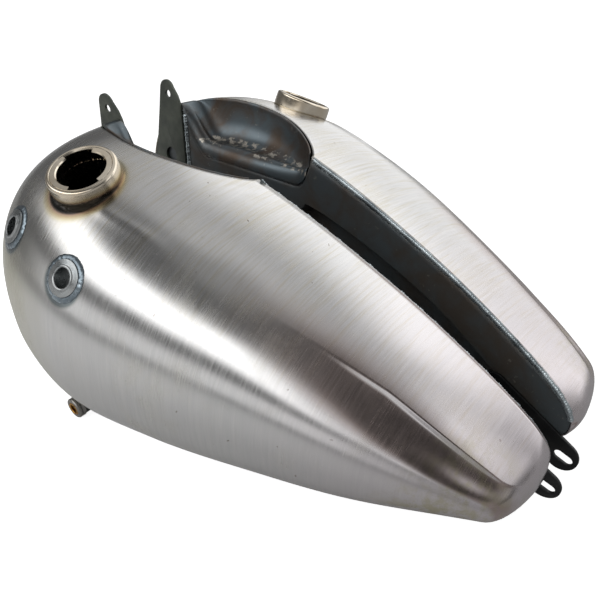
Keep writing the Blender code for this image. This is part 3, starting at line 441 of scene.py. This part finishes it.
def skin(s, angle):
    """The section, pushed along its outward normal. Under the ridge a valley 6.75 f (1 - f)^2 deep, where f is the
    share of its angle, with a crease at its upper edge; at the ridge's front end a faint crest, a bell curve."""
    s, angle = np.broadcast_arrays(np.asarray(s, float), np.asarray(angle, float))
    along = egg(s, np.minimum(angle + 0.02, pi / 2)) - egg(s, np.maximum(angle - 0.02, -pi / 2))
    size = np.hypot(along[..., 1], along[..., 2]) + 1e-9
    outward = np.stack([0 * s, along[..., 2] / size, -along[..., 1] / size], -1)
    fall = np.clip((ridge_angle(s) - angle) / VALLEY_ANGLE, 0, 1)
    fade = smooth((s - RIDGE_START) / (RIDGE_FULL - RIDGE_START)) * smooth((LENGTH - s) / (2 * TAIL_ROUND))
    crease = CREASE_DEPTH * smooth((s - 350) / 130)
    press = VALLEY_DEPTH * 6.75 * fall * (1 - fall) ** 2 + crease * smooth(fall * 14) * (1 - fall) ** 2
    crest = CREST_HEIGHT * smooth((s - 190) / 16) * smooth((282 - s) / 40)
    crest = crest * np.exp(-((ridge_angle(s) - angle) / CREST_ANGLE) ** 2)
    return egg(s, angle) + (crest - fade * press)[..., None] * outward


def swept(points):
    """Sweeps the inner corners of nose and tail in: a push along s that fades as a square outwards and along."""
    s, u = points[..., 0], np.maximum(points[..., 1], 0)
    nose, tail = (depth * np.clip(1 - u / reach, 0, 1) ** 2 * np.clip(1 - along / length, 0, 1) ** 2
                  for (depth, reach, length), along in ((NOSE_SWEEP, s), (TAIL_SWEEP, LENGTH - s)))
    return np.stack([s + nose - tail, points[..., 1], points[..., 2]], -1)


def recess_out(s):
    """How far out the recess's rim lies: a flattened arch between its two ends."""
    t = (s - (RECESS_REAR + RECESS_FRONT) / 2) / ((RECESS_REAR - RECESS_FRONT) / 2)
    return RECESS_WIDTH * np.maximum(1 - t * t, 0) ** 0.75


def lip_height(s, top):
    """Inner lip of the recess: the seam's height, dipping to a level stretch at 196 mm."""
    rise = np.clip((RECESS_REAR - s) / 20, 0, 1)
    return top - np.maximum(top - 196, 0) * smooth((s - 75) / 43) * np.sqrt(1 - (1 - rise) ** 2)


def lip_roll(s, top):
    """Height of the roll that turns the lip down to the panel: 13 mm where the lip is well under the seam."""
    return 13 * smooth((top - lip_height(s, top)) / 25)


print("width at the neck:", round(float(section(np.array(167.0))[2]), 1), "mm")

# %% [markdown]
# ## From numbers to meshes
# A surface is a grid of points. One function places a half's (s, out, up) numbers in the room, and one turns a
# grid into a mesh. A closed shape gets its normals worked out; a sheet gets its wall from Solidify.


# %% Placing and building
def place(points, out):
    """Millimetres of a half to metres in the room: mirrored to its side, leaned out, toed in, set down."""
    s, y, h = points[..., 0], points[..., 1] * out, points[..., 2]
    lean, toe = -out * LEAN, -out * TOE
    y, z = y * cos(lean) - h * sin(lean), y * sin(lean) + h * cos(lean)
    x, y = s * cos(toe) - y * sin(toe), s * sin(toe) + y * cos(toe)
    return np.stack([x + PLACE[0], y + out * PLACE[1], z + PLACE[2]], -1) * MM


def quads(rows, columns, wrap_rows=False, wrap_columns=False):
    """Corner numbers of a grid's faces; a wrapped direction joins its last line to its first."""
    i = np.arange(rows if wrap_rows else rows - 1)[:, None]
    j = np.arange(columns if wrap_columns else columns - 1)[None, :]
    a, b = i * columns + j, i * columns + (j + 1) % columns
    c, d = ((i + 1) % rows) * columns + (j + 1) % columns, ((i + 1) % rows) * columns + j
    return np.stack([a, b, c, d], -1).reshape(-1, 4)


def surface(name, points, faces, material, replaced, flip=None, wall=None, sharp=40, caps=()):
    """Piece from points and faces; flip None works the normals out, else says whether faces turn round."""
    faces = np.asarray(faces)[:, ::-1] if flip else np.asarray(faces)
    mesh = bpy.data.meshes.new(name)
    mesh.from_pydata(points.reshape(-1, 3), [], [*faces.tolist(), *[list(c) for c in caps]])
    work = bmesh.new()
    work.from_mesh(mesh)
    bmesh.ops.remove_doubles(work, verts=work.verts, dist=0.00001)
    bmesh.ops.dissolve_degenerate(work, edges=work.edges, dist=0.00001)
    if flip is None:
        bmesh.ops.recalc_face_normals(work, faces=work.faces)
    work.to_mesh(mesh)
    work.free()
    mesh.shade_smooth()
    mesh.set_sharp_from_angle(angle=radians(sharp))
    piece = bpy.data.objects.new(name, mesh)
    bpy.context.scene.collection.objects.link(piece)
    mesh.materials.append(material)
    if wall:
        sheet = piece.modifiers.new("wall", "SOLIDIFY")
        sheet.thickness, sheet.offset = wall[0] * MM, wall[1]
    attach(piece, "root")
    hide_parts(replaced)
    return piece


# %% [markdown]
# ## Outer skins
# Each skin is one grid of a few tens of thousands of small faces, so that the long highlights stay smooth. One
# row lies on the ridge, the first row follows the recess's rim, and a narrow groove is pressed in round the
# filler neck. Holes are made by sliding the nearest points onto the circle and dropping what is inside.

# %% Neck and boss places
NECK_AT = np.array([167.0, 105.0, 236.6])
NECK_AXIS = np.array([0.14, 0.30, 0.944]) / np.linalg.norm([0.14, 0.30, 0.944])
GROOVE_DEPTH, GROOVE_RADIUS, GROOVE_WIDTH = 0.8, 30.9, 1.6
NECK_HOLE, BOSS_HOLE, BUNG_HOLE = 28.9, 10.0, 11.0     # radii cut in the skin


def frame_at(s, angle):
    """Point on the skin and its outward normal."""
    step = 0.5
    point = skin(s, angle)
    along, turn = skin(s + step, angle) - skin(s - step, angle), skin(s, angle + 0.001) - skin(s, angle - 0.001)
    normal = np.cross(along, turn)
    normal = normal / np.linalg.norm(normal)
    return point, normal if normal[1] > 0 else -normal


BOSSES = {}
for boss_name, s, out in (("front", 118.0, 151.0), ("rear", 206.0, 164.0)):
    BOSSES[boss_name] = (s, float(angle_at(out / section(np.array(s))[2])))
BUNG_BACK, BUNG_OUT = 392.0, 62.0
bung_angle = -float(angle_at(BUNG_OUT / section(np.array(BUNG_BACK))[2]))
print({name: [round(float(c), 1) for c in frame_at(*at)[0]] for name, at in BOSSES.items()})


# %% The skin grid
def axis_distance(points, at, axis):
    """Distance from an axis, the radial arrow, and the height along the axis."""
    offset = points - at
    along = offset @ axis
    radial = offset - along[..., None] * axis
    return np.linalg.norm(radial, axis=-1), radial, along


def press_seat(points):
    """Narrow groove pressed round the neck: depth exp(-((r - radius) / width)^2), r being the distance from the
    neck's axis."""
    distance, _, along = axis_distance(points, NECK_AT, NECK_AXIS)
    near = (np.abs(along) < 60) * smooth((44 - distance) / 10)
    trench = GROOVE_DEPTH * np.exp(-((distance - GROOVE_RADIUS) / GROOVE_WIDTH) ** 2)
    return points - (near * trench)[..., None] * NECK_AXIS


def cut_hole(points, faces, at, axis, radius, reach, spacing):
    """Slides points near the circle onto it, then drops the faces inside."""
    distance, radial, along = axis_distance(points, at, axis)
    slide = (np.abs(distance - radius) < spacing) & (np.abs(along) < reach)
    points[slide] += radial[slide] * ((radius - distance[slide]) / distance[slide])[:, None]
    distance = np.where(slide, radius, distance)
    inside = (distance <= radius + 1e-6) & (np.abs(along) < reach)
    return faces[~inside[faces].all(axis=1)]


def outer_skin(side):
    out = SIDES[side]
    s = np.concatenate([59 * (1 - np.cos(np.linspace(0, pi / 2, 22))), np.linspace(59, 128, 32)[1:],
                        np.linspace(128, 208, 74)[1:], np.linspace(208, 267, 28)[1:],
                        np.linspace(267, 533, 62)[1:], 533 + 21 * np.sin(np.linspace(0, pi / 2, 14))[1:]])
    rim, width = recess_out(s), section(s)[2]
    start = angle_at(np.divide(rim, width, out=np.zeros_like(s), where=width > rim))
    ridge = ridge_angle(s)
    high = np.linspace(0, 1, 49)
    low = np.concatenate([np.linspace(0, 0.12, 26)[1:], np.linspace(0.12, 1, 110)[1:]])
    angles = np.concatenate([start[:, None] + (ridge - start)[:, None] * high,
                             ridge[:, None] + (-pi / 2 - ridge)[:, None] * low], axis=1)
    points = press_seat(skin(s[:, None], angles))
    shape = points.shape[:2]
    points = points.reshape(-1, 3)
    faces = cut_hole(points, quads(*shape), NECK_AT, NECK_AXIS, NECK_HOLE, 45, 0.7)
    if side == "left":
        for at in BOSSES.values():
            faces = cut_hole(points, faces, *frame_at(*at), BOSS_HOLE, 16, 0.9)
        faces = cut_hole(points, faces, *frame_at(BUNG_BACK, bung_angle), BUNG_HOLE, 16, 1.3)
    return surface(f"skin_{side}", place(swept(points), out), faces, brushed_steel, f"outer_skin_{side}",
                   flip=out > 0, wall=(SHEET, -1))


for side in SIDES:
    print(side, "skin faces:", len(outer_skin(side).data.polygons))

# %% [markdown]
# ## Inner panels and recess pans
# The wall towards the frame is pressed from one sheet: a flat band under the top seam, then a step into the
# tunnel for the frame tube. At the front the sheet folds over into a scoop that clears the steering neck.


# %% The seam line and the panel
def seam(s, inset):
    """Top and bottom seam points (s, h) as swept, moved in square to the seam from the skin's outer face."""
    top, low, _ = section(s)
    x = swept(np.stack([s, 0 * s, top], -1))[:, 0]
    made = []
    for height, side in ((top, 1), (low, -1)):
        run, climb = np.gradient(x), np.gradient(height)
        run[0] = run[-1] = 0
        size = np.hypot(run, climb)
        climb = np.where(run == 0, np.sign(climb) * size, climb)
        made.append(np.stack([x + side * inset * climb / size, height - side * inset * run / size], -1))
    for end in (0, -1):
        if top[end] - low[end] < FIT:
            made[0][end] = made[1][end] = (made[0][end] + made[1][end]) / 2
    return made


def inner_panel(side):
    out = SIDES[side]
    s = np.concatenate([59 * (1 - np.cos(np.linspace(0, pi / 2, 20))), np.linspace(59, 245, 70)[1:],
                        np.linspace(245, 267, 24)[1:], np.linspace(267, 533, 60)[1:],
                        533 + 21 * np.sin(np.linspace(0, pi / 2, 10))[1:]])
    upper, lower = seam(s, SHEET + FIT)
    tops = section(s)[0]
    upper[:, 1] = np.minimum(upper[:, 1], lip_height(s, tops) - lip_roll(s, tops))
    high, low = upper[:, 1], lower[:, 1]
    top = np.minimum(through(TUNNEL_TOP, 1, s), high - 22)
    bottom = np.maximum(top - 76, low + 22)
    tall = np.maximum(top - bottom, 0)
    depth = 22 * smooth((s - 84) / 30) * smooth((500 - s) / 48) * smooth(tall / 46)
    middle = (top + bottom) / 2
    top = np.clip(np.where(tall > 0, top, middle), low + (high - low) * 0.35, low + (high - low) * 0.85)
    bottom = np.clip(np.where(tall > 0, bottom, middle), low + (high - low) * 0.12, top - (high - low) * 0.15)
    step = np.minimum(7, (top - bottom) * 0.4)
    t = np.linspace(0, 1, 9)
    heights = np.concatenate([high[:, None] + (top - high)[:, None] * np.linspace(0, 1, 6),
                              top[:, None] - step[:, None] * t[1:],
                              (top - step)[:, None] + (bottom - top + 2 * step)[:, None] * np.linspace(0, 1, 9)[1:-1],
                              (bottom + step)[:, None] - step[:, None] * t,
                              bottom[:, None] + (low - bottom)[:, None] * np.linspace(0, 1, 5)[1:]], axis=1)
    deep = np.concatenate([np.zeros(6), smooth(t)[1:], np.ones(7), smooth(1 - t), np.zeros(4)])
    share = (heights - low[:, None]) / np.maximum(high - low, 1e-9)[:, None]
    points = np.stack([lower[:, :1] + (upper[:, :1] - lower[:, :1]) * share, depth[:, None] * deep + 0 * heights,
                       heights], -1)
    return surface(f"panel_{side}", place(points, out), quads(*points.shape[:2]), panel_scale,
                   f"inner_panel_{side}", flip=out > 0, wall=(SHEET, 1))


def recess_pan(side):
    """Across the scoop: quarter ellipse from the rim to the bowl's floor at 0.36 of its width, smooth rise to the
    lip's ridge at 0.24, and a quarter ellipse that rolls down onto the panel's edge."""
    out, inset = SIDES[side], SHEET + FIT
    s = RECESS_FRONT + (RECESS_REAR - RECESS_FRONT) * (0.5 - 0.5 * np.cos(np.linspace(0, pi, 110)))
    reach = recess_out(s) - (inset + FIT) * np.hypot(1, np.gradient(recess_out(s), s))
    s, reach = s[reach > 3 * inset], reach[reach > 3 * inset]
    top, _, width = section(s)
    rim = skin(s, angle_at(reach / width))[:, 2:] - FIT
    lip, roll = (lip_height(s, top) - FIT)[:, None], lip_roll(s, top)[:, None]
    floor = lip - 0.8 * roll / 13
    down, turn = np.linspace(0, pi / 2, 22), np.linspace(pi / 2, 0, 14)
    t = np.linspace(0, 1, 8)[1:-1]
    across = np.concatenate([0.36 + 0.64 * np.cos(down), 0.36 - 0.12 * t, 0.24 * (1 - np.cos(turn))])
    heights = np.concatenate([floor + (rim - floor) * (1 - np.sin(down)), floor + (lip - floor) * smooth(t),
                              lip - roll * (1 - np.sin(turn))], axis=1)
    inset = np.concatenate([np.full(28, inset), 0.1 + (inset - 0.1) * np.sin(turn)])
    points = np.stack([s[:, None] + 0 * across, inset + (reach[:, None] - inset) * across, heights], -1)
    return surface(f"pan_{side}", place(swept(points), out), quads(*points.shape[:2]), pan_scale,
                   f"recess_pan_{side}", flip=out > 0, wall=(SHEET, -1))


for side in SIDES:
    print(side, "panel and pan faces:", len(inner_panel(side).data.polygons), len(recess_pan(side).data.polygons))

# %% [markdown]
# ## Turned fittings
# Necks, bosses, the tap bung and the outlets are turned on a lathe, so each is a closed profile carried round
# its axis in 96 steps.


# %% Turning a profile
def basis(axis):
    """Two arrows square to the axis, the first towards the tail."""
    first = np.array([1.0, 0, 0]) - axis * axis[0]
    first /= np.linalg.norm(first)
    return first, np.cross(axis, first)


def turned(name, profile, at, axis, out, material, replaced, steps=96, sharp=30):
    """Closed profile of (radius, height) carried round the axis at a place of the half."""
    first, second = basis(axis)
    turn = np.linspace(0, 2 * pi, steps, endpoint=False)[:, None]
    radius, height = np.array(profile, float).T
    arrow = np.cos(turn)[..., None] * first + np.sin(turn)[..., None] * second
    points = at + arrow * radius[None, :, None] + height[None, :, None] * axis
    return surface(name, place(points, out), quads(steps, len(profile), True, True), material, replaced,
                   sharp=sharp)


def rounded(centre, radius, start, end, count):
    """Points of an arc of a profile, angles in degrees."""
    a = np.radians(np.linspace(start, end, count))
    return list(zip(centre[0] + radius * np.cos(a), centre[1] + radius * np.sin(a)))


# %% Filler necks and their bayonet rings
def bayonet_ring(side):
    """Flat ring whose bore opens into two notches; each angle has its own bore radius."""
    out = SIDES[side]
    first, second = basis(NECK_AXIS)
    half, middles = radians(31), (radians(36), radians(216))
    edges = sorted(m + k * half + d for m in middles for k in (-1, 1) for d in (-0.006, 0.006))
    turn = np.unique(np.concatenate([np.linspace(0, 2 * pi, 121)[:-1], np.mod(edges, 2 * pi)]))
    notched = np.zeros(len(turn), bool)
    for m in middles:
        notched |= np.abs((turn - m + pi) % (2 * pi) - pi) < half
    bore = np.where(notched, 24.8, 20.8)
    rows = [(bore, -1.0), (bore + 0.9, 0.0), (26.0 + 0 * bore, 0.0), (26.2 + 0 * bore, -0.3), (26.2 + 0 * bore, -2.8),
            (bore, -2.8)]
    arrow = np.cos(turn)[:, None] * first + np.sin(turn)[:, None] * second
    points = np.stack([NECK_AT + arrow * radius[:, None] + height * NECK_AXIS for radius, height in rows], 1)
    return surface(f"ring_{side}", place(points, out), quads(len(turn), len(rows), True, True), neck_nickel,
                   f"bayonet_ring_{side}", sharp=25)


for side in SIDES:
    profile = ([(28.5, -26), (28.5, -7.2), (25.0, -5.0), (25.0, -3.1), (26.5, -3.1), (26.5, -0.3), (26.8, 0.0)]
               + rounded((27.7, -2.6), 2.6, 90, 0, 10)
               + [(30.4, -5), (30.5, -8), (30.5, -11), (30.35, -14), (30.0, -17), (29.6, -20), (29.4, -26)])
    turned(f"neck_{side}", profile, NECK_AT, NECK_AXIS, SIDES[side], neck_nickel, f"filler_neck_{side}")
    bayonet_ring(side)

# %% Side bosses, tap bung and outlets
for boss_name, at in BOSSES.items():
    point, normal = frame_at(*at)
    profile = [(0.01, -8.9), (8.2, -8.9), (8.2, 2.2), (8.5, 2.7), (9.3, 3.0), (10.2, 2.7), (10.8, 1.9), (11.6, 1.6),
               (14.4, 1.5), (15.2, 1.2), (15.2, 0.3), (11.5, 0.3), (11.5, -11.4), (0.01, -11.4)]
    turned(f"boss_{boss_name}", profile, point, normal, -1, boss_plating, f"boss_{boss_name}_left")
point, normal = frame_at(BUNG_BACK, bung_angle)
turned("bung_left", [(8, -7), (8, 2.5), (8.5, 3), (13.2, 3), (14, 2.2), (14, -7)], point, normal, -1, boss_plating,
       "tap_bung_left")
OUTLET_AT, OUTWARD = np.array([169.0, 173.0, 19.5]), np.array([0.0, 1.0, 0.0])
BARREL = [(6.6, -45), (6.6, -7.3), (9.6, -7.3), (9.6, -45)]
COLLAR = [(6.6, -7), (6.6, -0.4), (7.0, 0), (8.8, 0), (9.6, -0.3), (10.3, -1.2), (10.3, -2.2), (9.2, -2.6),
          (9.2, -3.4), (10.3, -3.8), (10.3, -7)]
INSERT = [(4.7, -18), (4.7, -0.2), (5.1, 0.3), (6.0, 0.3), (6.3, 0.0), (6.3, -18)]
for side, out in SIDES.items():
    for part, profile, finish, node_name, slot in (("barrel", BARREL, barrel_black, "outlet_body", "strap"),
                                                   ("collar", COLLAR, collar_steel, "outlet_collar", "weld"),
                                                   ("insert", INSERT, brass, "outlet_insert", "brass")):
        turned(f"{part}_{side}", profile, OUTLET_AT, OUTWARD, out, finish, f"{node_name}_{side}", 64)

# %% [markdown]
# ## Weld beads
# A hand-laid bead is a row of overlapping puddles. Its section is a half circle whose height and width swell at
# each ripple.


# %% Beads along the seams and the bracket
def bead(name, path, out, replaced, radius=2.6, pitch=2.2, sides=9):
    """Half-round bead on the inner side, along a path of (s, h), rippled once each pitch."""
    path = np.asarray(path, float)
    length = np.concatenate([[0], np.cumsum(np.linalg.norm(np.diff(path, axis=0), axis=1))])
    at = np.arange(0, length[-1], pitch / 4)
    path = np.stack([np.interp(at, length, path[:, k]) for k in (0, 1)], 1)
    along = np.gradient(path, axis=0)
    along /= np.linalg.norm(along, axis=1)[:, None]
    across = np.stack([-along[:, 1], along[:, 0]], 1)
    wander = 1 + 0.10 * np.sin(at * 0.37) + 0.07 * np.sin(at * 0.93 + 1)
    swell = (radius * wander * (0.86 + 0.14 * np.abs(np.sin(pi * at / pitch))))[:, None]
    turn = np.linspace(0, pi, sides)
    lean = 0.35 * radius * np.sin(turn)
    points = np.stack([path[:, :1] + across[:, :1] * np.cos(turn) * swell + along[:, :1] * lean,
                       -(np.sin(turn) * swell * 0.8 + FIT),
                       path[:, 1:] + across[:, 1:] * np.cos(turn) * swell + along[:, 1:] * lean], -1)
    last = (len(path) - 1) * sides
    return surface(name, place(points, out), quads(len(path), sides, False, True), weld_metal, replaced,
                   sharp=60, caps=(range(sides), range(last, last + sides)))


for side, out in SIDES.items():
    s = np.concatenate([np.linspace(271, 533, 60), 533 + 21 * np.sin(np.linspace(0.2, 1.25, 10))])
    bead(f"top_bead_{side}", seam(s, 1.0 if out > 0 else 3.4)[0], out, f"top_seam_weld_{side}", radius=2.9)
    bead(f"bottom_bead_{side}", seam(np.linspace(32, 461, 90), SHEET + 1.2)[1], out, f"bottom_seam_weld_{side}")
    bead(f"bracket_bead_{side}", [(86.9, 222), (89.9, 146)], out, f"bracket_weld_{side}", pitch=3.0)

# %% [markdown]
# ## Brackets and straps
# The plates that bolt to the frame are cut from 3 mm steel and deburred: flat outlines with holes, given their
# thickness and a small bevel.


# %% Flat plates
def plate(name, loops, out, material, replaced, thickness=3.0, bevel=0.4):
    """Outlines of (s, h), the first the outside and the rest holes, made solid beside the inner panel, their
    edges rounded by the bevel."""
    curve = bpy.data.curves.new(name, "CURVE")
    curve.dimensions, curve.fill_mode = "2D", "BOTH"
    curve.extrude, curve.bevel_depth, curve.bevel_resolution = (thickness / 2 - bevel) * MM, bevel * MM, 2
    curve.offset = -bevel * MM
    for loop in loops:
        spline = curve.splines.new("POLY")
        spline.points.add(len(loop) - 1)
        for point, (s, h) in zip(spline.points, loop):
            point.co = (s * MM, h * MM, 0, 1)
        spline.use_cyclic_u = True
    carrier = bpy.data.objects.new(name + "_curve", curve)
    bpy.context.scene.collection.objects.link(carrier)
    mesh = bpy.data.meshes.new_from_object(carrier.evaluated_get(bpy.context.evaluated_depsgraph_get()))
    bpy.data.objects.remove(carrier)
    co = np.empty(len(mesh.vertices) * 3)
    mesh.vertices.foreach_get("co", co)
    co = co.reshape(-1, 3) / MM
    points = np.stack([co[:, 0], -(FIT + thickness / 2) + co[:, 2], co[:, 1]], -1)
    faces = [list(p.vertices) for p in mesh.polygons]
    bpy.data.meshes.remove(mesh)
    triangles = [f for f in faces if len(f) == 3]
    fours = np.array([f for f in faces if len(f) == 4] or np.empty((0, 4), int), int)
    return surface(name, place(points, out), fours, material, replaced, caps=triangles, sharp=30)


def arc(centre, radius, start, end, count):
    """Points on an arc of a flat outline, angles in degrees."""
    a = np.radians(np.linspace(start, end, count))
    return list(zip(centre[0] + radius * np.cos(a), centre[1] + radius * np.sin(a)))


for side, out in SIDES.items():
    ear = arc((61, 243.5), 11, 25, 170, 24) + [(46, 222), (31, 146)]
    ear += arc((37, 146), 6, 200, 270, 8) + arc((81, 146), 6, 270, 360, 8) + [(84, 222), (81.5, 232.5), (78, 240)]
    plate(f"ear_{side}", [ear, arc((63, 240), 4, 0, 352, 40), arc((62, 172), 8.7, 0, 352, 48)], out, olive_plate,
          f"front_bracket_{side}")
    run = atan2(27.5 - 63, 68)
    strap = arc((550, 27.5), 14, np.degrees(run) - 90, np.degrees(run) + 90, 32)
    strap += arc((482, 63), 14, np.degrees(run) + 90, np.degrees(run) + 270, 32)
    middle, tilt = (550 + 2 * cos(run), 27.5 + 2 * sin(run)), radians(-16)
    slot_loop = []
    for end in (0, pi):
        centre = (middle[0] + 4.15 * cos(tilt + end), middle[1] + 4.15 * sin(tilt + end))
        slot_loop += arc(centre, 4.1, np.degrees(tilt + end) - 90, np.degrees(tilt + end) + 90, 16)
    plate(f"strap_{side}", [strap, slot_loop], out, black_strap, f"rear_strap_{side}")


# %% Welded rings round the bosses
def boss_ring(name, at, replaced):
    """Ragged ring of weld on the skin: its points lie on the skin at a radius, lifted by a rippled height."""
    point, normal = frame_at(*at)
    first, second = basis(normal)
    turn = np.linspace(0, 2 * pi, 120, endpoint=False)
    back_s, turn_a = (skin(at[0] + 0.5, at[1]) - point) / 0.5, (skin(at[0], at[1] + 0.002) - point) / 0.002
    slope = np.array([[back_s @ first, turn_a @ first], [back_s @ second, turn_a @ second]])
    rough = 0.45 * np.sin(turn * 13) * np.sin(turn * 5 + 1) + 0.35 * np.sin(turn * 23 + 2) * np.sin(turn * 4)
    rows = []
    for radius, height, rag in ((15.5, 0.3, 0), (19.6, 0.2, 0.7), (19.0, 0.7, 0.6), (17.8, 1.1, 0.3),
                                (16.6, 1.4, 0.4), (15.5, 1.3, 0.3)):
        radii = radius + rag * rough
        wanted = radii[:, None] * np.stack([np.cos(turn), np.sin(turn)], -1)
        guess = np.zeros((len(turn), 2))
        for _ in range(8):
            offset = skin(at[0] + guess[:, 0], at[1] + guess[:, 1]) - point
            have = np.stack([offset @ first, offset @ second], -1)
            guess = guess + np.linalg.solve(slope, (wanted - have)[..., None])[..., 0]
        lift = height + (0.35 * rough * (height > 0.5))
        rows.append(skin(at[0] + guess[:, 0], at[1] + guess[:, 1]) + lift[:, None] * normal)
    points = np.stack(rows, 1)
    return surface(name, place(points, -1), quads(len(turn), len(rows), True, True), heat_blued, replaced,
                   sharp=50)


for boss_name, at in BOSSES.items():
    boss_ring(f"boss_bead_{boss_name}", at, f"boss_weld_{boss_name}_left")

# %% [markdown]
# The view transform is Standard, so a colour renders as it is written.

# %% Finish
bpy.context.scene.view_settings.view_transform = "Standard"
